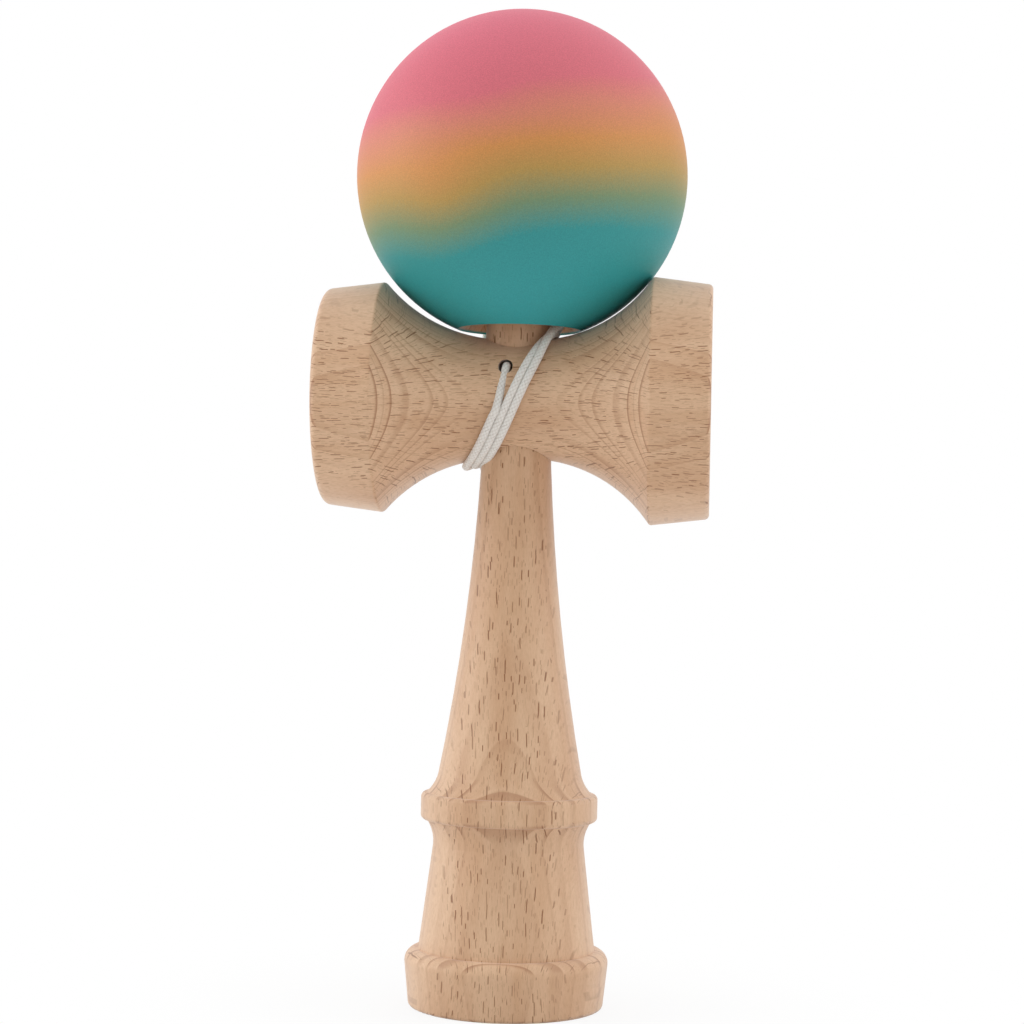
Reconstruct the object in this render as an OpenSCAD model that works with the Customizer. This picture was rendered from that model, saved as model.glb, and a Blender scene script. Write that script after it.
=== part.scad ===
// Kendama: a turned beech ken and sarado with a painted ball on a string.
// Millimetres, +Z up. The origin is on the axis of the ken, in the plane of the base cup's rim.
// The sarado lies along X, with the big cup at +X and the string hole at the front, -Y.

/* [Ken] */
// Height of the ken from the base rim to the tip of the spike
ken_h = 156.5; // [150:0.5:162]
// Radius of the base band at the rim
foot_r = 17.5; // [16.8:0.1:17.8]
// Angle at which the base band widens upwards
base_lean = 6; // [3:1:8]
// Height of the base band
base_h = 10.3; // [8:0.1:13]
// Rounding of the base band's upper edge
base_edge_r = 2.2; // [0.5:0.1:2.4]
// Rounding of the base band's rim
foot_edge_r = 0.8; // [0.3:0.1:1.2]
// Rim radius of the base cup's dish
base_dish_r = 14.6; // [12:0.1:15]
// Depth of the base cup's dish
base_dish_depth = 6.5; // [5:0.1:8]
// Radius of the flared foot where it meets the base band
flare_low_r = 15.9; // [15:0.1:16.2]
// Radius of the flared foot at its top
flare_top_r = 13.6; // [12.5:0.1:14.5]
// Height of the top of the flared foot
flare_top_z = 29; // [26:0.1:31]
// Radius of the ring
ring_r = 15.95; // [15.5:0.05:17]
// Height of the ring's lower face
ring_z = 33.4; // [33:0.1:36]
// Thickness of the ring
ring_h = 4.9; // [4:0.1:6]
// Rounding of the ring's edges
ring_edge_r = 0.9; // [0.3:0.1:1.2]
// Flat beside the ring's rounded edges, where the coves meet it
ring_land = 0.2; // [0.1:0.05:0.4]
// Curve of the coves under and over the ring
cove_curve = 7; // [6.5:0.1:9]
// Height of the cove over the ring
cove_h = 3.3; // [2.5:0.1:4]
// Radius of the handle at its foot
handle_low_r = 12.95; // [12:0.05:13.5]
// Curve of the hollow along the handle
handle_curve = 400; // [300:10:800]
// Radius of the taper where it enters the sarado
taper_low_r = 6.35; // [6:0.05:7]
// Radius of the taper where it leaves the sarado
taper_top_r = 5.95; // [5.5:0.05:6]
// Length of the taper
taper_l = 24; // [24:0.5:28]
// Angle at which the spike narrows from the taper to its rounded tip
spike_lean = 5; // [4:1:6]

/* [Sarado] */
// Length of the sarado from rim to rim
sarado_l = 70; // [68:0.5:76]
// Height of the sarado's axis
sarado_z = 109.5; // [108:0.1:113]
// Radius of the waist
waist_r = 10.8; // [10.2:0.1:11.2]
// Length of the waist's straight middle
waist_l = 5; // [3:0.5:8]
// Distance of both ridges from the sarado's middle
ridge_x = 24.3; // [23.5:0.1:25.5]
// Radius of the big cup's ridge
big_ridge_r = 22.4; // [21:0.1:24]
// Angle at which the big cup narrows from its ridge to its rim
big_lean = 7; // [5:1:8]
// Rounding of the big cup's rim
big_edge_r = 0.9; // [0.4:0.1:1.2]
// Rim radius of the big cup's dish
big_dish_r = 19.4; // [18:0.1:19.5]
// Radius of the small cup's ridge
small_ridge_r = 20.9; // [20:0.1:22]
// Angle at which the small cup narrows from its ridge to its rim
small_lean = 7; // [5:1:8]
// Rounding of the small cup's rim
small_edge_r = 1.4; // [0.6:0.1:2]
// Rim radius of the small cup's dish
small_dish_r = 16.8; // [15:0.1:17]
// Curve of the dishes in both cups, a little tighter than the ball
dish_curve = 27; // [25:0.5:29]
// Rounding of both ridges
ridge_edge_r = 0.6; // [0.2:0.1:1]
// Bore of the string hole
string_hole_d = 2.6; // [2.2:0.1:3]
// Place of the string hole along the sarado
string_hole_x = -1.5; // [-2.5:0.1:0]
// Height of the string hole above the sarado's axis
string_hole_rise = 5.2; // [4.5:0.1:5.6]
// Bore of the ken's cross hole, which holds the knot
knot_hole_d = 4.8; // [4.4:0.1:5.2]

/* [Tama] */
// Diameter of the ball
tama_d = 60; // [58:0.5:62]
// Radius of the spike hole's bevel on the ball's surface
bevel_r = 11.2; // [10.8:0.1:12]
// Height of the bevel
bevel_h = 4.7; // [3.5:0.1:5.5]
// Radius of the spike hole above the bevel
hole_low_r = 8.3; // [7.8:0.1:8.8]
// Radius of the spike hole at its end
hole_end_r = 7.2; // [6.6:0.1:7.6]
// Distance from the ball's centre up to the point of the spike hole
hole_point_rise = 20; // [19:0.5:21]
// Diameter of the string channel
channel_d = 3.2; // [3:0.1:4]
// Rounding of the string channel's mouth
lip_r = 3; // [2:0.1:4]

/* [String] */
// Diameter of the string
string_d = 1.5; // [1.3:0.05:1.6]
// Full loops of the string round the waist
string_loops = 2; // [1:1:2]
// Distance between loops along the sarado
loop_pitch = 2.4; // [2.35:0.05:2.5]
// Height by which the last of the string climbs over its own loops
loop_climb = 2.1; // [2.05:0.05:2.3]
// Diameter of the bead
bead_d = 7; // [6:0.1:7.5]
// Length of the bead between its flat ends
bead_l = 6.2; // [5:0.1:6.4]
// Bore of the bead
bead_bore_d = 2; // [1.8:0.1:2.4]
// Diameter of the knots
knot_d = 3.8; // [3.4:0.1:4]
// Length of the knots
knot_l = 3.4; // [3:0.1:3.6]

/* [Fits] */
// Gap between the taper and the sarado's bore
taper_gap = 0.05; // [0.03:0.01:0.1]
// Gap between the resting ball and the sarado
rest_gap = 0.25; // [0.2:0.05:0.6]
// Gap between the bead and the end of the spike hole
bead_gap = 0.3; // [0.2:0.05:0.5]
// Gap between the string's knot and the sarado's bore
knot_gap = 0.3; // [0.2:0.05:0.5]
// Gap between the string and the wood that it lies on
string_gap = 0.3; // [0.25:0.05:0.5]

/* [Hidden] */

$fn = 180;
// Sides of the rounded edges, a degree each, and of the long arcs
edge_fn = 360;
long_fn = 1440;
// Margin by which a cutting shape passes the face that it cuts
over = 1;
// Half angle of a drill's point
drill_half_angle = 59;

beech = [0.80, 0.66, 0.53];
pale_beech = [0.79, 0.65, 0.51];
paint = [0.20, 0.56, 0.56];
cotton = [0.88, 0.86, 0.83];
bead_wood = [0.72, 0.55, 0.38];

// Heights along the ken
ring_top_z = ring_z + ring_h;
handle_low_z = ring_top_z + cove_h;
taper_low_z = sarado_z - taper_l / 2;
taper_top_z = sarado_z + taper_l / 2;
// The spike's tip is a ball that its cone touches
spike_l = ken_h - taper_top_z;
spike_tip_r = (taper_top_r * cos(spike_lean) - spike_l * sin(spike_lean)) / (1 - sin(spike_lean));
spike_tip_z = ken_h - spike_tip_r;
string_hole_z = sarado_z + string_hole_rise;

// Curve of the waist from its straight middle out to each ridge, which starts a little under the straight
waist_sink = 0.02;
curve_low_r = waist_r - waist_sink;
curve_x = waist_l / 2;
big_curve = waist_curve(big_ridge_r);
small_curve = waist_curve(small_ridge_r);

// The ball rests on the ridges, or with its bevel's edge on the waist, whichever it meets first
tama_r = tama_d / 2;
bevel_drop = sqrt(pow(tama_r, 2) - pow(bevel_r, 2));
ridge_drop = sqrt(pow(tama_r + rest_gap, 2) - pow(ridge_x, 2));
ridge_rest = max(big_ridge_r, small_ridge_r) + ridge_drop;
waist_rest = waist_top(bevel_r) + rest_gap + bevel_drop;
tama_z = sarado_z + max(ridge_rest, waist_rest);
bevel_z = tama_z - bevel_drop;
hole_point_z = tama_z + hole_point_rise;
hole_end_z = hole_point_z - hole_end_r / tan(drill_half_angle);
// The bead hangs under the point of the spike hole, and its knot under the bead
bead_z = hole_point_z - (bead_d / 2 + bead_gap) / sin(drill_half_angle);
bead_knot_top_z = bead_z - bead_l / 2;

// The sarado's bore follows the taper and runs out through both sides of the waist
taper_slope = (taper_low_r - taper_top_r) / taper_l;
bore_mid_r = (taper_low_r + taper_top_r) / 2 + taper_gap;
bore_half = waist_top(taper_low_r + taper_gap) + over;

// The string's knot lies in the cross hole, just inside the sarado's bore
knot_face_y = knot_gap - sqrt(pow(bore_mid_r, 2) - pow(knot_d / 2 - string_hole_x, 2));
// The string hole's mouth on the waist
mouth_y = -sqrt(pow(waist_at(string_hole_x), 2) - pow(string_hole_rise, 2));
tail_steps = 3;

// The winding: angles run round the waist from its top over the front, and slant across it
loop_start = 95;
leave_angle = 245;
loop_end = leave_angle + 360 * string_loops;
loop_x = -1.3;
loop_reach = 8;
loop_bow = 1.2;
// Near 1 the slant runs straight down the front and turns sharply above and below
slant_sharpness = 0.97;
loop_rings = 24;
loop_sides = 6;
// Over the last of the winding the string climbs, then crosses its own loops to the place where the lead leaves
climb_from = 105 + 360 * string_loops;
climb_to = 140 + 360 * string_loops;
cross_from = 125 + 360 * string_loops;
cross_to = 185 + 360 * string_loops;
lead_x = -8;
bend_steps = 8;
bend_pull = 7;

// The lead's points behind the ball and over its top, from the ball's centre
lead_points = [
    [-8, 18.5, -32.5], [-8, 22, -25], [-8, 25.5, -18], [-8, 27.8, -11.5], [-8, 29.5, -6], [-7.5, 30.2, 0],
    [-7, 29.8, 6.5], [-6, 28.5, 12], [-5, 26, 17], [-4, 22.5, 21.5], [-3, 18.5, 25.2], [-2, 14, 28],
    [-1, 9.5, 30], [-0.5, 6, 30.8], [-0.2, 3.6, 30.6], [0, 1.6, 29.7], [0, 0.6, 28], [0, 0.4, 26], [0, 0.2, 23],
    [0, 0, 20]
];
lead_sides = 8;
// Steps of the lead's path from one point to the next
lead_steps = 2;

// The waist's curve towards a ridge, and its radius and slope at a place along the sarado
function waist_curve(ridge_r) =
    let (rise = ridge_r - curve_low_r, run = ridge_x - curve_x)
    (rise * rise + run * run) / (2 * rise);
function curve_at(x) = x < 0 ? small_curve : big_curve;
function along_curve(x) = max(abs(x) - curve_x, 0);
function waist_drop(x) = sqrt(pow(curve_at(x), 2) - pow(along_curve(x), 2));
function waist_at(x) = max(waist_r, curve_low_r + curve_at(x) - waist_drop(x));
function waist_slope(x) = sign(x) * along_curve(x) / waist_drop(x);
// The larger of its radii at a distance from the middle
function waist_top(x) = max(waist_at(x), waist_at(-x));

function unit(v) = v / norm(v);
function ease(t) = t <= 0 ? 0 : t >= 1 ? 1 : t * t * (3 - 2 * t);
function mix(a, b, t) = a + (b - a) * t;

// Centre, on the outer side, of an arc of a given radius from p up to q
function arc_centre(p, q, curve) =
    let (chord = q - p, half = norm(chord) / 2, side = [chord[1], -chord[0]] / norm(chord))
    (p + q) / 2 + side * sqrt(curve * curve - half * half);

// Slant across the waist, from 1 at its top to -1 below
function slant(angle) = asin(slant_sharpness * cos(angle)) / asin(slant_sharpness);
function loop_place(angle) =
    let (s = slant(angle))
    loop_x + loop_reach * s + loop_bow * s * s + loop_pitch * ((angle - loop_start) / 360 - 1);
function climb(angle) = ease((angle - climb_from) / (climb_to - climb_from));
function crossing(angle) = ease((angle - cross_from) / (cross_to - cross_from));
function winding_x(angle) = mix(loop_place(angle), lead_x, crossing(angle));
function winding_r(angle, x) =
    waist_at(x) + (string_d / 2 + string_gap) * sqrt(1 + pow(waist_slope(x), 2)) + loop_climb * climb(angle);
function winding_point(angle) =
    let (x = winding_x(angle), r = winding_r(angle, x))
    [x, -r * sin(angle), sarado_z + r * cos(angle)];
function winding_direction(angle) = unit(winding_point(angle + 0.5) - winding_point(angle - 0.5));

// Point at t on a smooth bend from p to q that starts along u and ends along v
function bend(p, u, q, v, t) =
    let (s = 1 - t, a = p + u * bend_pull / 3, b = q - v * bend_pull / 3)
    s * s * s * p + 3 * s * s * t * a + 3 * s * t * t * b + t * t * t * q;

// A path through the points, in a few steps from each to the next
function smooth(points, steps) =
    let (last = len(points) - 1)
    concat(
        [for (i = [0 : last - 1], k = [0 : steps - 1])
            let (
                t = k / steps,
                p = points[i],
                q = points[i + 1],
                u = (q - points[max(i - 1, 0)]) / 2,
                v = (points[min(i + 2, last)] - p) / 2
            )
            p + t * u + t * t * (3 * (q - p) - 2 * u - v) + t * t * t * (2 * (p - q) + u + v)],
        [points[last]]
    );

// From the knot straight out of the string hole, over its edge, round the waist, and straight at the end
winding_out = [string_hole_x, mouth_y, string_hole_z];
winding_leave = winding_point(loop_end);
winding_end = winding_leave + string_d * winding_direction(loop_end);
winding_path = concat(
    [for (i = [0 : tail_steps - 1]) [string_hole_x, mix(knot_face_y, mouth_y, i / tail_steps), string_hole_z]],
    [for (i = [0 : bend_steps - 1])
        bend(winding_out, [0, -1, 0], winding_point(loop_start), winding_direction(loop_start), i / bend_steps)
    ],
    [for (angle = [loop_start : 360 / loop_rings : loop_end - 1]) winding_point(angle)],
    [winding_leave, winding_end]
);

// The lead's path goes straight on from the winding, smoothly through its points, and straight to the bead's knot
lead_stations = concat(
    [winding_end + string_d * winding_direction(loop_end)],
    [for (p = lead_points) p + [0, 0, tama_z]],
    [[0, 0, bead_z], [0, 0, bead_knot_top_z]]
);
lead_path = concat([winding_end], smooth(lead_stations, lead_steps));

// Distance from a point to a stretch of path
function stretch_distance(p, a, b) =
    let (along = b - a, t = max(0, min(1, (p - a) * along / (along * along))))
    norm(p - a - along * t);
// Least gap between parts of a wound path that lie at least half a loop apart
function least_gap(path, d, apart) =
    min([for (i = [0 : len(path) - 1], j = [i + apart : 1 : len(path) - 2])
        stretch_distance(path[i], path[j], path[j + 1])]) - d;
function path_length(path) = len(path) < 2 ? 0 :
    [for (i = 0, s = 0; i < len(path); i = i + 1, s = s + (i < len(path) ? norm(path[i] - path[i - 1]) : 0)) s]
    [len(path) - 1];

echo(winding_gap = least_gap(winding_path, string_d, loop_rings / 2));
echo(winding_length = path_length(winding_path), lead_length = path_length(lead_path));

// A tube along a path, in rings of a few sides, with faces of triangles
module tube(path, d, sides, reference) {
    last = len(path) - 1;
    rings = [for (i = [0 : last])
        let (
            along = unit(path[min(i + 1, last)] - path[max(i - 1, 0)]),
            aside = reference(path[i]),
            out = unit(aside - (aside * along) * along),
            across = cross(along, out)
        )
        for (k = [0 : sides - 1])
            path[i] + d / 2 * (cos(360 * k / sides) * out + sin(360 * k / sides) * across)
    ];
    walls = [for (i = [0 : last - 1], k = [0 : sides - 1])
        let (a = i * sides + k, b = i * sides + (k + 1) % sides)
        each [[a, a + sides, b], [b, a + sides, b + sides]]
    ];
    first_end = [for (k = [1 : sides - 2]) [0, k, k + 1]];
    last_end = [for (k = [1 : sides - 2]) [last * sides, last * sides + k + 1, last * sides + k]];
    polyhedron(points = rings, faces = concat(walls, first_end, last_end));
}

// Outline of a turned stretch between two [radius, height] stations
module straight(p, q) {
    polygon([[0, p[1]], p, q, [0, q[1]]]);
}

// A stretch hollowed by an arc through both stations, which runs on below and above into its neighbours
module hollow(p, q, curve, below, above) {
    centre = arc_centre(p, q, curve);
    start = p - centre;
    difference() {
        polygon([
            [0, p[1] - below], [p[0] + over, p[1] - below], [q[0] + over, q[1] + above], [0, q[1] + above]
        ]);
        translate(centre) rotate(atan2(start[1], start[0])) circle(curve, $fn = long_fn);
    }
}

// Outline of a turned band from z up that widens at an angle, with its lower and upper edges rounded
module band(z, h, r, lean, edge0, edge1) {
    side = [cos(lean), -sin(lean)];
    low = [r + edge0 * (sin(lean) - 1) / cos(lean), z + edge0];
    high = [r + ((h - edge1) * sin(lean) - edge1) / cos(lean), z + h - edge1];
    polygon([
        [0, z], [low[0], z], low + edge0 * side, high + edge1 * side, [high[0], z + h], [0, z + h]
    ]);
    translate(low) circle(edge0, $fn = edge_fn);
    translate(high) circle(edge1, $fn = edge_fn);
}

// A dish of a given rim radius and depth, below height 0
module dish(rim_r, depth) {
    curve = (rim_r * rim_r + depth * depth) / (2 * depth);
    translate([0, depth - curve]) circle(curve);
}

module right_half(size) {
    intersection() {
        children();
        translate([0, -size]) square([size, 2 * size]);
    }
}

module ken_outline() {
    foot = [flare_low_r, base_h];
    waist = [flare_top_r, flare_top_z];
    under_ring = [ring_r - ring_edge_r - ring_land, ring_z];
    over_ring = [ring_r - ring_edge_r - ring_land, ring_top_z];
    handle_low = [handle_low_r, handle_low_z];
    taper_low = [taper_low_r, taper_low_z];
    taper_top = [taper_top_r, taper_top_z];
    spike_tip = [spike_tip_r * cos(spike_lean), spike_tip_z + spike_tip_r * sin(spike_lean)];
    // Each stretch runs on a little into the next, so that they cross at a clear line
    sink = ring_land;
    flare_end = waist + (waist - foot) * sink / (flare_top_z - base_h);
    right_half(ken_h) {
        difference() {
            union() {
                band(0, base_h, foot_r, base_lean, foot_edge_r, base_edge_r);
                straight(foot, flare_end);
                hollow(waist, under_ring, cove_curve, sink, sink);
                band(ring_z, ring_h, ring_r, 0, ring_edge_r, ring_edge_r);
                hollow(over_ring, handle_low, cove_curve, sink, sink);
                hollow(handle_low, taper_low, handle_curve, sink, sink);
                straight(taper_low, taper_top);
                straight(taper_top, spike_tip);
                translate([0, spike_tip_z]) circle(spike_tip_r, $fn = edge_fn);
            }
            dish(base_dish_r, base_dish_depth);
        }
    }
}

module cross_drill(d) {
    translate([string_hole_x, 0, string_hole_z])
        rotate([90, 0, 0]) cylinder(d = d, h = sarado_l, center = true);
}

module ken() {
    color(beech) difference() {
        rotate_extrude() ken_outline();
        cross_drill(knot_hole_d);
    }
}

// Half of the sarado's outline, from its middle out to one rim, with the ridge and the rim rounded
module cup_outline(ridge_r, curve, lean, edge_r, dish_r) {
    reach = sarado_l / 2;
    rim_r = ridge_r - (reach - ridge_x) * tan(lean);
    // The ridge's rounding touches the cup's side and the waist's curve
    waist_centre = [curve_low_r + curve, curve_x];
    side = [cos(lean), sin(lean)];
    along = [-sin(lean), cos(lean)];
    start = [ridge_r, ridge_x] - ridge_edge_r * side - waist_centre;
    back = start * along;
    travel = -back + sqrt(back * back - start * start + pow(curve + ridge_edge_r, 2));
    ridge_centre = waist_centre + start + travel * along;
    on_side = ridge_centre + ridge_edge_r * side;
    on_waist = ridge_centre + ridge_edge_r * unit(waist_centre - ridge_centre);
    outside = ridge_r + 2 * over;
    rim = [rim_r - edge_r * (1 - sin(lean)) / cos(lean), reach - edge_r];
    difference() {
        union() {
            difference() {
                polygon([
                    [0, curve_x], [ridge_r + over, curve_x], [ridge_r + over, ridge_x],
                    on_side, rim + edge_r * side, [rim[0], reach], [0, reach]
                ]);
                translate(waist_centre) circle(curve, $fn = long_fn);
                polygon([on_waist, [outside, on_waist[1] - over], [outside, on_side[1]], on_side]);
            }
            straight([waist_r, 0], [waist_r, ridge_x / 2]);
            translate(ridge_centre) circle(ridge_edge_r, $fn = edge_fn);
            translate(rim) circle(edge_r, $fn = edge_fn);
        }
        translate([0, reach + sqrt(pow(dish_curve, 2) - pow(dish_r, 2))]) circle(dish_curve);
    }
}

module sarado_outline() {
    right_half(sarado_l) {
        cup_outline(big_ridge_r, big_curve, big_lean, big_edge_r, big_dish_r);
        mirror([0, 1]) cup_outline(small_ridge_r, small_curve, small_lean, small_edge_r, small_dish_r);
    }
}

module sarado() {
    color(pale_beech) difference() {
        translate([0, 0, sarado_z]) rotate([0, 90, 0]) rotate_extrude() sarado_outline();
        translate([0, 0, sarado_z - bore_half])
            cylinder(
                r1 = bore_mid_r + taper_slope * bore_half,
                r2 = bore_mid_r - taper_slope * bore_half,
                h = 2 * bore_half
            );
        // The string hole opens at the front only
        translate([string_hole_x, 0, string_hole_z])
            rotate([90, 0, 0]) cylinder(d = string_hole_d, h = waist_r + over);
    }
}

module tama_outline() {
    bottom_z = tama_z - tama_r - over;
    mouth_z = bevel_z + bevel_h;
    channel_r = channel_d / 2;
    lip_z = tama_z + sqrt(pow(tama_r, 2) - pow(channel_r + lip_r, 2)) - lip_r;
    difference() {
        right_half(tama_z + tama_d) translate([0, tama_z]) circle(tama_r);
        polygon([
            [-over, bottom_z], [bevel_r + (bevel_z - bottom_z) * (bevel_r - hole_low_r) / bevel_h, bottom_z],
            [hole_low_r, mouth_z], [hole_end_r, hole_end_z], [0, hole_point_z], [-over, hole_point_z]
        ]);
        translate([-over, hole_end_z]) square([channel_r + over, tama_d]);
        // The channel's mouth flares on a round lip
        difference() {
            translate([-over, lip_z]) square([channel_r + lip_r + over, tama_d]);
            translate([channel_r + lip_r, lip_z]) circle(lip_r);
        }
    }
}

module tama() {
    color(paint) rotate_extrude() tama_outline();
}

// A knot drawn tight, as a round-edged barrel from its flat face up
module knot() {
    edge_r = knot_d / 5;
    rotate_extrude() right_half(knot_d) band(0, knot_l, knot_d / 2, 0, edge_r, edge_r);
}

module string_knot() {
    color(cotton) translate([string_hole_x, knot_face_y, string_hole_z]) rotate([-90, 0, 0]) knot();
}

module string_winding() {
    color(cotton) tube(winding_path, string_d, loop_sides, function(p) [0, p[1], p[2] - sarado_z]);
}

module string_lead() {
    color(cotton) tube(lead_path, string_d, lead_sides, function(p) [1, 0, 0]);
}

module string_bead() {
    color(bead_wood) translate([0, 0, bead_z]) rotate_extrude() difference() {
        intersection() {
            circle(d = bead_d);
            translate([0, -bead_l / 2]) square([bead_d, bead_l]);
        }
        translate([-over, -bead_d]) square([bead_bore_d / 2 + over, 2 * bead_d]);
    }
}

module bead_knot() {
    color(cotton) translate([0, 0, bead_knot_top_z - knot_l]) knot();
}

ken();
sarado();
tama();
string_knot();
string_winding();
string_lead();
string_bead();
bead_knot();
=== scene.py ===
"""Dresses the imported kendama: camera, light, wood, paint and string.

The scene is in metres, in the model's own frame. Sizes named here are in millimetres unless they say otherwise.
"""

import math

import bpy
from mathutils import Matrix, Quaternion, Vector


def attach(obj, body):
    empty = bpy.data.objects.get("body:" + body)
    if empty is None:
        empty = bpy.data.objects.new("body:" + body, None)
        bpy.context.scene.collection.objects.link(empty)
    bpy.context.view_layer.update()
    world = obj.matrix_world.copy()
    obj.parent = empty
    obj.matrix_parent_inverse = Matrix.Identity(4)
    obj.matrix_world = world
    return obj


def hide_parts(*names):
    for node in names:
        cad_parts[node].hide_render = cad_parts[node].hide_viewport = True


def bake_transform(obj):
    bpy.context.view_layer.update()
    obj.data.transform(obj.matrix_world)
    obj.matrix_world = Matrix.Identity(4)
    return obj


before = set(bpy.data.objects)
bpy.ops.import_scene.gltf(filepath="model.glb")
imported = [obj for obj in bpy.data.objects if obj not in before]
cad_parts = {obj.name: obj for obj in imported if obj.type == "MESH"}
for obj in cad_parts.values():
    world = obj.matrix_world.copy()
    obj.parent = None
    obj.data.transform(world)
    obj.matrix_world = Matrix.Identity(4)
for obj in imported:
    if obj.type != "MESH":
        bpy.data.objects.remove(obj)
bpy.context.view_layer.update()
scene = bpy.context.scene
scene.view_settings.view_transform = "Standard"

MM = 0.001

# The model
SARADO_Z = 109.5
WAIST_R = 10.8
WAIST_L = 5
RIDGE_X = 24.3
BIG_RIDGE_R = 22.4
SMALL_RIDGE_R = 20.9
TAMA_Z = 149.92
BEAD_Z = 165.48
BEAD_KNOT_TOP_Z = 162.38
KNOT_FACE_Y = -4.88
KNOT_L = 3.4
KNOT_R = 1.9
STRING_D = 1.5
STRING_HOLE = (-1.5, -9.4, 114.7)

# The camera, with its places in metres
SENSOR_W = 36
LENS = 81.35
CAMERA_AZIMUTH = math.radians(4.8)
CAMERA_ROLL = math.radians(1.2)
CAMERA_DISTANCE = 0.4194
CAMERA_Z = 0.0803
LOOK_AT = (-0.0006, 0, 0.08905)


def add_camera():
    """The photograph's view: a little below the middle and turned slightly towards the big cup."""
    data = bpy.data.cameras.new("camera")
    data.sensor_width = SENSOR_W
    data.lens = LENS
    data.clip_start = 0.01
    data.clip_end = 20
    camera = bpy.data.objects.new("camera", data)
    scene.collection.objects.link(camera)
    aside = CAMERA_DISTANCE * math.sin(CAMERA_AZIMUTH)
    in_front = CAMERA_DISTANCE * math.cos(CAMERA_AZIMUTH)
    camera.location = (aside, -in_front, CAMERA_Z)
    look = Vector(LOOK_AT) - camera.location
    camera.rotation_mode = "QUATERNION"
    camera.rotation_quaternion = look.to_track_quat("-Z", "Y") @ Quaternion((0, 0, 1), CAMERA_ROLL)
    scene.camera = camera


def linear(red, green, blue):
    """A colour from its usual 0 to 255 values, in linear light."""
    values = [c / 255 for c in (red, green, blue)]
    return tuple(c / 12.92 if c <= 0.04045 else ((c + 0.055) / 1.055) ** 2.4 for c in values) + (1,)


class Graph:
    """The nodes of a material or a world, and the short calls that build them."""

    def __init__(self, owner, shader="Principled BSDF"):
        self.owner = owner
        owner.use_nodes = True
        self.tree = owner.node_tree
        self.shader = self.tree.nodes[shader]

    def put(self, socket, value):
        if isinstance(value, bpy.types.NodeSocket):
            self.tree.links.new(value, socket)
        else:
            socket.default_value = value

    def look(self, **values):
        """Sets inputs of the shader, by their names with underscores for spaces."""
        for name, value in values.items():
            self.put(self.shader.inputs[name.replace("_", " ")], value)

    def node(self, kind, inputs, **settings):
        made = self.tree.nodes.new(kind)
        for key, value in settings.items():
            setattr(made, key, value)
        for key, value in inputs.items():
            self.put(made.inputs[key], value)
        return made

    def math(self, operation, *values):
        made = self.node("ShaderNodeMath", dict(enumerate(values)), operation=operation)
        return made.outputs[0]

    def add(self, a, b):
        return self.math("ADD", a, b)

    def times(self, a, b):
        return self.math("MULTIPLY", a, b)

    def around_zero(self, noise, reach):
        """A noise between 0 and 1, moved and stretched to lie half the reach to either side of 0."""
        return self.times(self.add(noise, -0.5), reach)

    def step(self, value, start, end, low=0.0, high=1.0):
        """Runs smoothly from low to high while value goes from start to end."""
        inputs = {"Value": value, "From Min": start, "From Max": end, "To Min": low, "To Max": high}
        return self.node("ShaderNodeMapRange", inputs, interpolation_type="SMOOTHSTEP").outputs[0]

    def vector(self, x, y, z):
        return self.node("ShaderNodeCombineXYZ", {0: x, 1: y, 2: z}).outputs[0]

    def scaled(self, place, rates):
        """A vector of three coordinates, each times its own rate."""
        return self.vector(*(self.times(c, rate) for c, rate in zip(place, rates)))

    def length(self, vector):
        return self.node("ShaderNodeVectorMath", {0: vector}, operation="LENGTH").outputs["Value"]

    def noise(self, vector, detail=2.0, roughness=0.5):
        inputs = {"Vector": vector, "Scale": 1.0, "Detail": detail, "Roughness": roughness}
        return self.node("ShaderNodeTexNoise", inputs).outputs[0]

    def mix(self, share, a, b, blend="MIX"):
        inputs = {0: share, 6: a, 7: b}
        return self.node("ShaderNodeMix", inputs, data_type="RGBA", blend_type=blend).outputs[2]

    def ramp(self, value, stops):
        made = self.node("ShaderNodeValToRGB", {0: value})
        elements = made.color_ramp.elements
        while len(elements) < len(stops):
            elements.new(0.5)
        for element, (place, colour) in zip(elements, stops):
            element.position = place
            element.color = colour
        return made.outputs[0]

    def place(self):
        """The point's three coordinates in the model's frame, in millimetres."""
        point = self.node("ShaderNodeTexCoord", {}).outputs["Object"]
        scaled = self.node("ShaderNodeVectorMath", {0: point, 1: (1 / MM,) * 3}, operation="MULTIPLY")
        return self.node("ShaderNodeSeparateXYZ", {0: scaled.outputs[0]}).outputs[:]

    def normal(self):
        """The three parts of the surface's direction in the model's frame."""
        way = self.node("ShaderNodeTexCoord", {}).outputs["Normal"]
        return self.node("ShaderNodeSeparateXYZ", {0: way}).outputs[:]

    def seen(self):
        """1 where the surface is looked at, directly or in a reflection, and 0 where it only gives light."""
        path = self.node("ShaderNodeLightPath", {})
        seen = self.math("MAXIMUM", path.outputs["Is Camera Ray"], path.outputs["Is Glossy Ray"])
        return self.math("MAXIMUM", seen, path.outputs["Is Transmission Ray"])

    def bump(self, height, distance):
        made = self.node("ShaderNodeBump", {"Height": height, "Distance": distance, "Strength": 1.0})
        self.put(self.shader.inputs["Normal"], made.outputs[0])


# Beech: its colours, then how the tree grew
PALE_WOOD = linear(220, 183, 148)
WARM_WOOD = linear(206, 164, 127)
LATE_WOOD = linear(170, 122, 86)
RAY_WOOD = linear(126, 72, 14)
PITH_LEAN = 0.02  # per millimetre along the grain
PITH_DRIFT = 1.2
RING_FLATNESS = 0.65
YEAR_SWELL = 0.64
YEAR_SWELL_RATE = 1.05
YEAR_TONE = 0.11
RAY_WAVER = 0.7
RAY_SHARE = 0.85
LARGE_RAY_DEPTH = 8
SMALL_RAY_DEPTH = 5
SMALL_RAY_SPACING = 0.52  # against the large ones, as is the size
SMALL_RAY_SIZE = 0.55
WOOD_BUMP = 0.00006  # in metres

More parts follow.
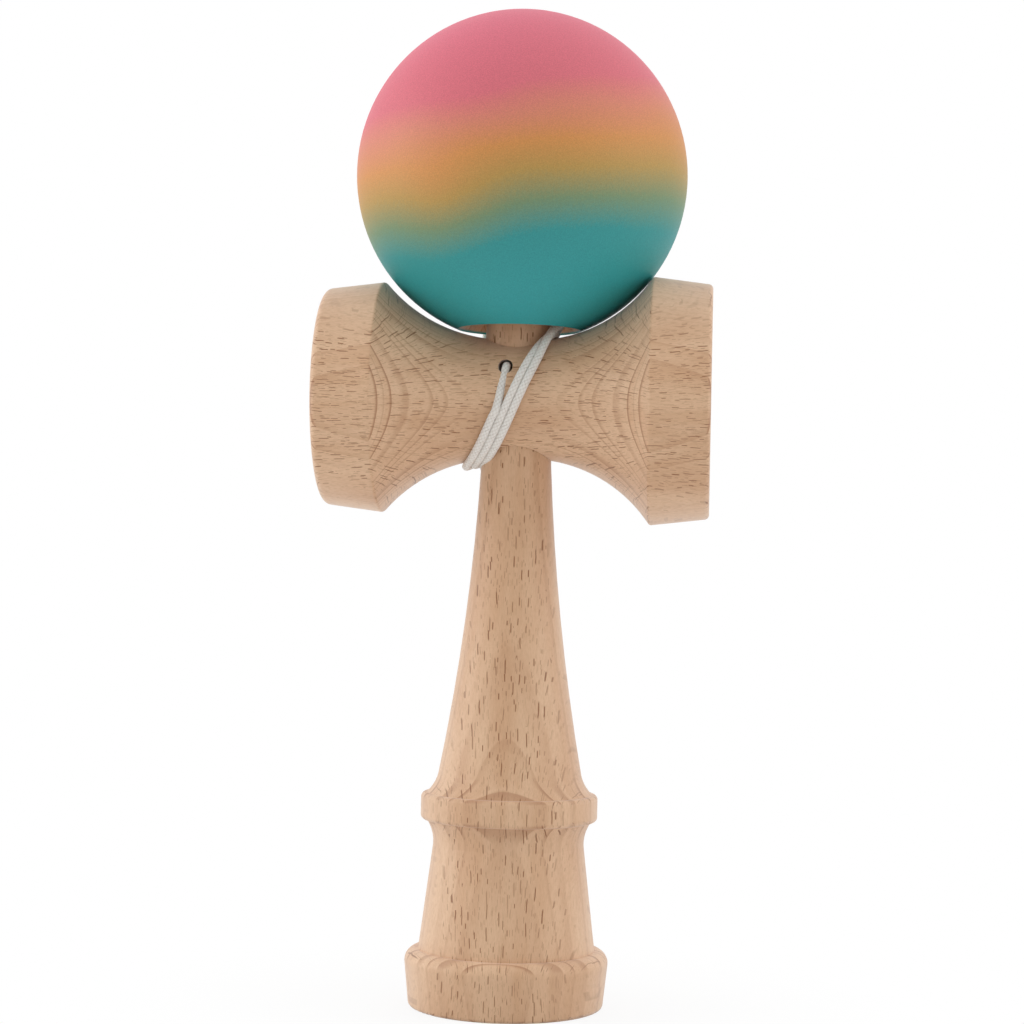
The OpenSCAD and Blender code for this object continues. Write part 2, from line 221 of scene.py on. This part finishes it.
# For each piece of wood: the pith's place from its middle (radial, tangent), the mean width of a ring, the strength
# of the ring lines, the large rays' spacing and half size (across and along the grain), the first ring's start
KEN_WOOD = dict(pith=(-40.7, 1), ring=2.8, lines=0.95, cell=(1.8, 3.4), half=(0.17, 1.2), start=0.23)
SARADO_WOOD = dict(
    pith=(-48, -7), ring=1.6, lines=1.0, cell=(1.0, 2.6), half=(0.125, 1.1), start=0.43, seed=11.0
)
BEAD_WOOD = dict(pith=(9, 2), ring=1.2, lines=0.4, cell=(1.5, 2.5), half=(0.1, 0.8), seed=23.0)
TAMA_WOOD = dict(pith=(45, 8), ring=2.2, lines=0.4, cell=(2.4, 3.2), half=(0.12, 1.1), seed=7.0)

# The model's axes and the piece's middle, in the order radial, tangent, grain
ALONG_KEN = dict(axes=(1, 0, 2), middle=(0, 0, 0))
ALONG_SARADO = dict(axes=(1, 2, 0), middle=(0, SARADO_Z, 0))


def rays(g, place, cell, half, seed):
    """Short dashes along the grain: thin plates that run outwards from the pith, each of its own strength."""
    q = g.scaled([g.add(c, seed) for c in place], [1 / c for c in cell])
    cells = g.node("ShaderNodeTexVoronoi", {"Vector": q, "Scale": 1.0, "Randomness": 1.0})
    away = g.node("ShaderNodeVectorMath", {0: cells.outputs["Position"], 1: q}, operation="SUBTRACT")
    off = g.node("ShaderNodeSeparateXYZ", {0: away.outputs[0]})
    tone = g.node("ShaderNodeSeparateColor", {0: cells.outputs["Color"]})
    reach = g.times(g.add(tone.outputs[1], 0.4), half[1])
    across = g.math("DIVIDE", g.math("ABSOLUTE", g.times(off.outputs[1], cell[1])), half[0])
    along = g.math("DIVIDE", g.math("ABSOLUTE", g.times(off.outputs[2], cell[2])), reach)
    shape = g.times(g.step(across, 1.0, 0.35), g.step(along, 1.0, 0.6))
    return g.times(shape, g.step(tone.outputs[0], 1 - RAY_SHARE, 0.8))


def beech(g, place, normal, pith, ring, lines, cell, half, start=0.0, seed=0.0):
    """Colour, height and pores of turned beech, whose growth rings lie round a pith line along the grain.

    The place and the normal are given in the order radial, tangent, grain.
    """
    radial, tangent, grain = place
    side = math.copysign(1.0, -pith[0])
    drift = g.around_zero(g.noise(g.scaled(place, (1 / 18, 1 / 18, 1 / 40))), PITH_DRIFT)
    waver = g.times(g.noise(g.scaled(place, (1 / 3, 1 / 3, 1 / 5))), RAY_WAVER)

    # The pith line leans a little, and good and bad years change the width of the rings
    inwards = g.times(g.add(g.add(radial, drift), g.add(g.times(grain, PITH_LEAN), -pith[0])), side)
    sideways = g.add(tangent, -pith[1])
    flattened = g.times(g.times(sideways, sideways), RING_FLATNESS)
    from_pith = g.math("SQRT", g.add(g.times(inwards, inwards), flattened))
    swell = g.times(g.math("SINE", g.times(from_pith, YEAR_SWELL_RATE)), YEAR_SWELL)
    count = g.add(g.times(g.add(from_pith, swell), 1 / ring), start)
    year = g.node("ShaderNodeTexWhiteNoise", {"W": g.math("FLOOR", count)}, noise_dimensions="1D").outputs[0]
    season = g.math("FRACT", count)

    # The rings stand out where the surface cuts across the grain
    cut = g.math("ABSOLUTE", normal[2])
    shown = g.times(g.step(cut, 0.1, 0.6, 0.25, 1.0), lines)
    late = g.times(g.times(g.step(season, 0.6, 0.93), g.step(season, 1.0, 0.96)), shown)
    late = g.times(late, g.step(year, 0.0, 1.0, 0.35, 1.0))
    early = g.times(g.times(g.step(season, 0.2, 0.02), g.step(season, 0.0, 0.03)), shown)

    # The rays show sharply edge on, and faintly on end grain and where the surface lies along them
    across = g.add(g.times(inwards, normal[1]), g.times(g.times(sideways, normal[0]), -side))
    edge = g.step(g.math("ABSOLUTE", g.math("DIVIDE", across, from_pith)), 0.8, 1.0, 1.0, 0.3)
    edge = g.times(edge, g.step(cut, 0.65, 0.95, 1.0, 0.3))
    turn = g.math("ARCTAN2", sideways, inwards)
    fanned = g.add(g.times(turn, abs(pith[0])), g.add(drift, waver))
    ray_place = (from_pith, fanned, grain)
    large = g.times(rays(g, ray_place, (LARGE_RAY_DEPTH, *cell), half, seed + 3), edge)
    small_cell = [c * SMALL_RAY_SPACING for c in cell]
    small_half = [h * SMALL_RAY_SIZE for h in half]
    small = g.times(rays(g, ray_place, (SMALL_RAY_DEPTH, *small_cell), small_half, seed + 17), edge)

    pores = g.noise(g.scaled((radial, fanned, grain), (3.0, 5.5, 0.8)), 3.0, 0.6)
    turning = g.noise(g.vector(0.0, 0.0, g.times(grain, 3.2)), 2.0, 0.7)
    tone = g.noise(g.scaled((radial, fanned, grain), (1 / 12, 1 / 7, 1 / 40)), 3.0)
    tone = g.add(tone, g.around_zero(year, YEAR_TONE))

    colour = g.mix(g.step(tone, 0.3, 0.7), PALE_WOOD, WARM_WOOD)
    colour = g.mix(late, colour, LATE_WOOD)
    colour = g.mix(g.times(early, 0.5), colour, PALE_WOOD)
    colour = g.mix(g.step(pores, 0.35, 0.8, 0.0, 0.3), colour, LATE_WOOD)
    colour = g.mix(g.times(small, 0.5), colour, RAY_WOOD)
    colour = g.mix(g.times(large, 0.9), colour, RAY_WOOD)
    dents = g.add(g.times(large, 0.2), g.add(g.times(small, 0.12), g.times(late, 0.3)))
    height = g.add(g.add(g.times(pores, 0.35), g.times(turning, 0.35)), g.times(dents, -1.0))
    return colour, height, pores


def wood_material(name, axes, middle, **wood):
    """Bare sanded beech with its grain along one of the model's axes."""
    g = Graph(bpy.data.materials.new(name))
    place, normal = g.place(), g.normal()
    place = [g.add(place[axis], -shift) for axis, shift in zip(axes, middle)]
    normal = [normal[axis] for axis in axes]
    colour, height, pores = beech(g, place, normal, **wood)
    g.look(Base_Color=colour, Roughness=g.step(pores, 0.3, 0.8, 0.46, 0.62))
    g.look(Specular_IOR_Level=0.5, Sheen_Weight=0.35)
    g.bump(height, WOOD_BUMP)
    return g.owner


# The paint: colours by their height on the ball, and how the bands tilt, spread and drift
PAINT_BANDS = [
    (-30, (48, 164, 170)),
    (-9, (49, 147, 147)),
    (-4, (119, 143, 107)),
    (1, (181, 146, 79)),
    (6, (209, 143, 80)),
    (11, (214, 131, 108)),
    (16, (216, 109, 121)),
    (30, (219, 106, 126)),
]
PAINT_REACH = 30.0  # above and below the ball's middle
PAINTED_R = (29.3, 29.8)  # from bare wood to full paint
BAND_DROP = 5.9
BAND_TILT = 0.115
BAND_FAN = 0.003  # more tilt per millimetre of height
CLOUD = 2.5
MIST = 3.0
DRIP = 2.4
RIGHT_CLIMB = (0.9, 2.2)  # of the lower and the upper bands
RIGHT_EDGE_CLIMB = 1.2
LEFT_CLIMB = 1.3
PAINT_BUMP = 0.00005  # in metres


def paint_material():
    """Matt paint in soft tilted bands over the ball, with bare wood inside its holes."""
    g = Graph(bpy.data.materials.new("tama_paint"))
    x, y, z = g.place()
    z = g.add(z, -TAMA_Z)
    cloud = g.noise(g.scaled((x, y, z), (1 / 22,) * 3), 1.0)
    mist = g.noise(g.scaled((x, y, z), (2.6,) * 3), 3.0, 0.75)
    tilt = g.add(g.times(z, BAND_FAN), BAND_TILT)
    level = g.add(g.add(z, BAND_DROP), g.times(g.times(x, tilt), -1.0))
    level = g.add(level, g.add(g.around_zero(cloud, CLOUD), g.around_zero(mist, MIST)))

    # The bands drift: the orange runs down left of the middle, and all of them climb to the right
    drip = g.times(g.times(g.step(x, -24.0, -12.0), g.step(x, 3.0, -12.0)), g.step(z, 2.0, -7.0))
    upper = g.step(z, 2.0, 12.0)
    climb = g.times(g.step(x, -7.0, 7.0), g.step(upper, 0.0, 1.0, *RIGHT_CLIMB))
    climb = g.add(climb, g.times(g.step(x, 20.0, 28.0), RIGHT_EDGE_CLIMB))
    climb = g.add(climb, g.times(g.times(g.step(x, -9.0, -18.0), g.step(z, -3.0, 6.0)), LEFT_CLIMB))
    level = g.add(level, g.add(g.times(drip, DRIP), g.times(climb, -1.0)))
    whole = 2 * PAINT_REACH
    stops = [((height + PAINT_REACH) / whole, linear(*rgb)) for height, rgb in PAINT_BANDS]
    paint = g.ramp(g.times(g.add(level, PAINT_REACH), 1 / whole), stops)

    # A fine speckle, as sprayed
    speckle = g.noise(g.scaled((x, y, z), (5.0,) * 3), 2.0, 0.7)
    shade = g.step(speckle, 0.25, 0.75, 0.85, 1.08)
    paint = g.mix(1.0, paint, g.vector(shade, shade, shade), "MULTIPLY")

    across, front, up = g.normal()
    bare, grain_height, _ = beech(g, (y, x, z), (front, across, up), **TAMA_WOOD)
    covered = g.step(g.length(g.vector(x, y, z)), *PAINTED_R)
    g.look(Base_Color=g.mix(covered, bare, paint), Roughness=g.step(mist, 0.2, 0.8, 0.46, 0.6))
    g.look(Specular_IOR_Level=0.35)
    showing_through = g.times(grain_height, g.step(covered, 1.0, 0.0, 0.12, 1.0))
    g.bump(g.add(showing_through, g.times(mist, 0.25)), PAINT_BUMP)
    return g.owner


# The string: colours from the painted shade in the braid's grooves to the painted highlight on its crowns, and of
# its fibres
STRING_SHADING_STOPS = [(0.0, linear(182, 172, 162)), (0.35, linear(222, 216, 208)), (1.0, linear(244, 241, 236))]
FIBRE_COLOUR = linear(190, 180, 170)
FIBRE_BUMP = 0.00004  # in metres

# The braid on the string and the knots
BRAID_SIDES = 30
BRAID_CARRIERS = 6
BRAID_PITCH = 0.85
BRAID_RELIEF = 0.06
PATH_STEP = 0.16
CURVE_STEPS = 40

# The string in its hole
KNOT_RUN = 1.2
MOUTH_INSET = 0.4
MOUTH_SAG = 0.45

# The winding: angles in degrees round the waist, from the top over the front
LOOP_START = 95
LOOP_END = 965
LOOP_STEP = 10
LOOP_X = -0.25
LOOP_REACH = 7.52
LOOP_SKEW = 0.12
LOOP_PITCH = 1.55
LOOP_SHARPNESS = 0.985
LOOP_GAP = 0.03
RIDE_X = 0.85
RIDE_R = 1.3
CLIMB_START = 893
CLIMB_SPAN = 27
CLIMB_R = 1.6
CROSS_START = 895
CROSS_SPAN = 60
LEAD_X = -8.0

# The lead, from the waist up behind the ball and over it into its channel, round the ball's middle
LEAD_POINTS = [
    (-8, 18.5, -32.5), (-8, 22, -25), (-8, 25.5, -18), (-8, 27.8, -11.5), (-8, 29.5, -6), (-7.5, 30.2, 0),
    (-7, 29.8, 6.5), (-6, 28.5, 12), (-5, 26, 17), (-4, 22.5, 21.5), (-3, 18.5, 25.2), (-2, 14, 28),
    (-1, 9.5, 30), (-0.5, 6, 30.8), (-0.2, 3.6, 30.6), (0, 1.6, 29.7), (0, 0.6, 28), (0, 0.4, 26),
    (0, 0.2, 23), (0, 0, 20),
]

# The knots' wraps
KNOT_TURNS = 2.25
KNOT_STEPS = 16
KNOT_STRAND_D = 1.25
KNOT_END_X = 0.2


def string_material():
    """White braid: painted shade in its grooves, a painted highlight on its crowns, and fine fibres."""
    g = Graph(bpy.data.materials.new("string"))
    # The braid's height: the ramp below paints shade into its grooves and a highlight onto its crowns
    stitch = g.node("ShaderNodeAttribute", {}, attribute_name="stitch").outputs["Fac"]
    fibre = g.noise(g.scaled(g.place(), (9.0,) * 3), 3.0, 0.7)
    colour = g.mix(g.step(fibre, 0.45, 0.8, 0.0, 0.2), g.ramp(stitch, STRING_SHADING_STOPS), FIBRE_COLOUR)
    g.look(Base_Color=colour, Roughness=g.step(fibre, 0.2, 0.8, 0.7, 0.9))
    g.look(Specular_IOR_Level=0.2, Sheen_Weight=0.3)
    g.bump(fibre, FIBRE_BUMP)
    return g.owner


def waist_at(x):
    """Radius and slope of the waist at a place along the sarado."""
    rise = (SMALL_RIDGE_R if x < 0 else BIG_RIDGE_R) - WAIST_R
    curve = (rise**2 + (RIDGE_X - WAIST_L / 2) ** 2) / (2 * rise)
    along = max(abs(x) - WAIST_L / 2, 0.0)
    depth = math.sqrt(curve**2 - along**2)
    return WAIST_R + curve - depth, math.copysign(along, x) / depth


def ease(t):
    """Runs smoothly from 0 to 1 with t, and stays there."""
    t = min(max(t, 0.0), 1.0)
    return t * t * (3 - 2 * t)


def winding_point(angle):
    """A point of the winding, by its angle round the waist."""
    cosine = math.cos(math.radians(angle))
    slant = math.asin(LOOP_SHARPNESS * cosine) / math.asin(LOOP_SHARPNESS)
    turns = (angle - LOOP_START) / 360
    x = LOOP_X + LOOP_REACH * slant - LOOP_SKEW * slant**2 + LOOP_PITCH * (turns - 1)
    # The second loop rides up on the first beside the spike
    ride = ease((slant - 0.3) / 0.7) if angle > LOOP_START + 360 else 0.0
    x -= RIDE_X * ride
    # The last of the string climbs over the loops under the waist, to where the lead leaves
    climb = ease((angle - CLIMB_START) / CLIMB_SPAN)
    x += (LEAD_X - x) * ease((angle - CROSS_START) / CROSS_SPAN)
    radius, slope = waist_at(x)
    lift = (STRING_D / 2 + LOOP_GAP) * math.sqrt(1 + slope * slope)
    r = radius + lift + RIDE_R * ride + CLIMB_R * climb
    return Vector((x, -r * math.sin(math.radians(angle)), SARADO_Z + r * cosine))


def smooth_path(points):
    """Points evenly spaced on a smooth line through the given ones, and the length of that line."""
    fine = []
    last = len(points) - 1
    for i in range(last):
        p, q = points[i], points[i + 1]
        u = (q - points[max(i - 1, 0)]) / 2
        v = (points[min(i + 2, last)] - p) / 2
        for k in range(CURVE_STEPS):
            t = k / CURVE_STEPS
            fine.append(p + t * u + t * t * (3 * (q - p) - 2 * u - v) + t * t * t * (2 * (p - q) + u + v))
    fine.append(points[-1])
    lengths = [0.0]
    for a, b in zip(fine, fine[1:]):
        lengths.append(lengths[-1] + (b - a).length)
    count = round(lengths[-1] / PATH_STEP)
    even, at = [], 0
    for k in range(count + 1):
        target = lengths[-1] * k / count
        while at < len(fine) - 2 and lengths[at + 1] < target:
            at += 1
        span = lengths[at + 1] - lengths[at]
        even.append(fine[at].lerp(fine[at + 1], (target - lengths[at]) / span))
    return even, lengths[-1]


def string_path():
    """From the knot in the ken out of the string hole, round the waist, up behind the ball and down into it."""
    x, mouth, z = STRING_HOLE
    points = [
        Vector((x, KNOT_FACE_Y, z)),
        Vector((x, KNOT_FACE_Y - KNOT_RUN, z)),
        Vector((x, mouth + MOUTH_INSET, z - MOUTH_SAG)),
    ]
    points += [winding_point(a) for a in range(LOOP_START + LOOP_STEP // 2, LOOP_END + 1, LOOP_STEP)]
    points += [Vector(p) + Vector((0, 0, TAMA_Z)) for p in LEAD_POINTS]
    points += [Vector((0, 0, BEAD_Z)), Vector((0, 0, BEAD_KNOT_TOP_Z))]
    return smooth_path(points)


def knot_path():
    """The wraps of a stopper knot drawn tight round its own string, upwards from height 0."""
    bottom, top = KNOT_STRAND_D / 2, KNOT_L - KNOT_STRAND_D / 2
    radius = KNOT_R - KNOT_STRAND_D / 2
    rise = (KNOT_L - KNOT_STRAND_D) / KNOT_TURNS
    points = [Vector((0, 0, bottom))]
    for k in range(int(KNOT_TURNS * KNOT_STEPS) + 1):
        angle = 2 * math.pi * k / KNOT_STEPS
        height = bottom + rise * k / KNOT_STEPS
        points.append(Vector((radius * math.cos(angle), radius * math.sin(angle), height)))
    points.append(Vector((KNOT_END_X, 0, top)))
    return points


def braided_tube(name, path, diameter):
    """A closed tube along a path, with the diamonds of a braid raised on it, and their height as an attribute."""
    sides = BRAID_SIDES
    verts, stitches, faces = [], [], []
    along = (path[1] - path[0]).normalized()
    out = along.orthogonal().normalized()
    travelled = 0.0
    for i, centre in enumerate(path):
        ahead = (path[min(i + 1, len(path) - 1)] - path[max(i - 1, 0)]).normalized()
        out = (along.rotation_difference(ahead) @ out).normalized()
        along = ahead
        across = along.cross(out)
        if i:
            travelled += (centre - path[i - 1]).length
        for k in range(sides):
            turn = k / sides
            # Two sets of carriers run round the string in opposite ways and pass over each other by turns
            left = turn * BRAID_CARRIERS + travelled / BRAID_PITCH
            right = turn * BRAID_CARRIERS - travelled / BRAID_PITCH
            over = (math.floor(left) + math.floor(right)) % 2 == 0
            side = (right if over else left) % 1.0
            lengthwise = (left if over else right) % 1.0
            height = math.sin(math.pi * side) ** 0.6 * (0.55 + 0.45 * math.sin(math.pi * lengthwise))
            radius = diameter / 2 - BRAID_RELIEF + BRAID_RELIEF * height
            angle = 2 * math.pi * turn
            verts.append(centre + radius * (math.cos(angle) * out + math.sin(angle) * across))
            stitches.append(height)
    for i in range(len(path) - 1):
        for k in range(sides):
            a, b = i * sides + k, i * sides + (k + 1) % sides
            faces.append((a, b, b + sides, a + sides))
    faces.append(tuple(reversed(range(sides))))
    faces.append(tuple(range(len(verts) - sides, len(verts))))
    mesh = bpy.data.meshes.new(name)
    mesh.from_pydata([v * MM for v in verts], [], faces)
    mesh.attributes.new("stitch", "FLOAT", "POINT").data.foreach_set("value", stitches)
    mesh.shade_smooth()
    made = bpy.data.objects.new(name, mesh)
    scene.collection.objects.link(made)
    return made


def add_string():
    """One braided string, a knot in the ken and a knot under the bead."""
    material = string_material()
    path, length = string_path()
    string = braided_tube("string", path, STRING_D)
    string.data.materials.append(material)
    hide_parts("string_winding", "string_lead")

    for node, body, turn, shift in (
        ("string_knot", "ken", Quaternion((1, 0, 0), -math.pi / 2), (STRING_HOLE[0], KNOT_FACE_Y, STRING_HOLE[2])),
        ("bead_knot", "string_end", Quaternion(), (0, 0, BEAD_KNOT_TOP_Z - KNOT_L)),
    ):
        wraps, _ = smooth_path([turn @ p + Vector(shift) for p in knot_path()])
        knot = braided_tube(node + "_wraps", wraps, KNOT_STRAND_D)
        knot.data.materials.append(material)
        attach(knot, body)
        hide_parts(node)

    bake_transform(string)


def set_material(node, material):
    """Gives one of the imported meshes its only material."""
    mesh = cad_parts[node].data
    mesh.materials.clear()
    mesh.materials.append(material)


# The floor and the light, in metres and watts
FLOOR_HALF = 4
FLOOR_GREY = 0.75
SHADOW_FADE = (20.0, 80.0)  # in millimetres from the ken's axis
SHADOW_WHITE = (0.88, 1.0)
SKY = (0.58, 1.32)  # from the horizon to overhead
BACK_LIGHT = 0.36
LAMPS = (("left", (-0.8, -0.08, 0.3), 2.4), ("right", (0.85, -0.15, 0.35), 1.5))
LAMP_SIZE = 0.6
LAMP_AIM = (0, 0, 0.09)


def add_floor():
    """A white floor that shows only a faint shadow by the foot."""
    h = FLOOR_HALF
    mesh = bpy.data.meshes.new("floor")
    mesh.from_pydata([(-h, -h, 0), (h, -h, 0), (h, h, 0), (-h, h, 0)], [], [(0, 1, 2, 3)])
    floor = bpy.data.objects.new("floor", mesh)
    scene.collection.objects.link(floor)
    g = Graph(bpy.data.materials.new("floor"))
    g.look(Base_Color=(FLOOR_GREY, FLOOR_GREY, FLOOR_GREY, 1), Roughness=0.8)
    x, y, _ = g.place()
    away = g.length(g.vector(x, y, 0.0))
    share = g.times(g.seen(), g.step(away, *SHADOW_FADE, *SHADOW_WHITE))
    white = g.node("ShaderNodeEmission", {"Color": (1, 1, 1, 1), "Strength": 1.0})
    mixed = g.node("ShaderNodeMixShader", {0: share, 1: g.shader.outputs[0], 2: white.outputs[0]})
    g.put(g.tree.nodes["Material Output"].inputs["Surface"], mixed.outputs[0])
    floor.data.materials.append(g.owner)


def add_light():
    """White all round to look at, with its light strongest from above and behind, and a lamp on each side."""
    g = Graph(bpy.data.worlds.new("studio"), "Background")
    scene.world = g.owner
    way = g.node("ShaderNodeTexCoord", {}).outputs["Generated"]
    _, back, up = g.node("ShaderNodeSeparateXYZ", {0: way}).outputs
    light = g.add(g.step(up, 0.0, 1.0, *SKY), g.times(back, BACK_LIGHT))
    strength = g.add(light, g.times(g.seen(), g.math("SUBTRACT", 1.0, light)))
    g.look(Color=(1, 1, 1, 1), Strength=strength)

    for name, place, power in LAMPS:
        data = bpy.data.lights.new(name, "AREA")
        data.size = LAMP_SIZE
        data.energy = power
        lamp = bpy.data.objects.new(name, data)
        lamp.location = place
        aim = Vector(LAMP_AIM) - Vector(place)
        lamp.rotation_euler = aim.to_track_quat("-Z", "Y").to_euler()
        scene.collection.objects.link(lamp)


add_camera()
add_string()
set_material("ken", wood_material("ken_beech", **ALONG_KEN, **KEN_WOOD))
set_material("sarado", wood_material("sarado_beech", **ALONG_SARADO, **SARADO_WOOD))
set_material("tama", paint_material())
set_material("string_bead", wood_material("bead_wood", **ALONG_KEN, **BEAD_WOOD))
add_floor()
add_light()
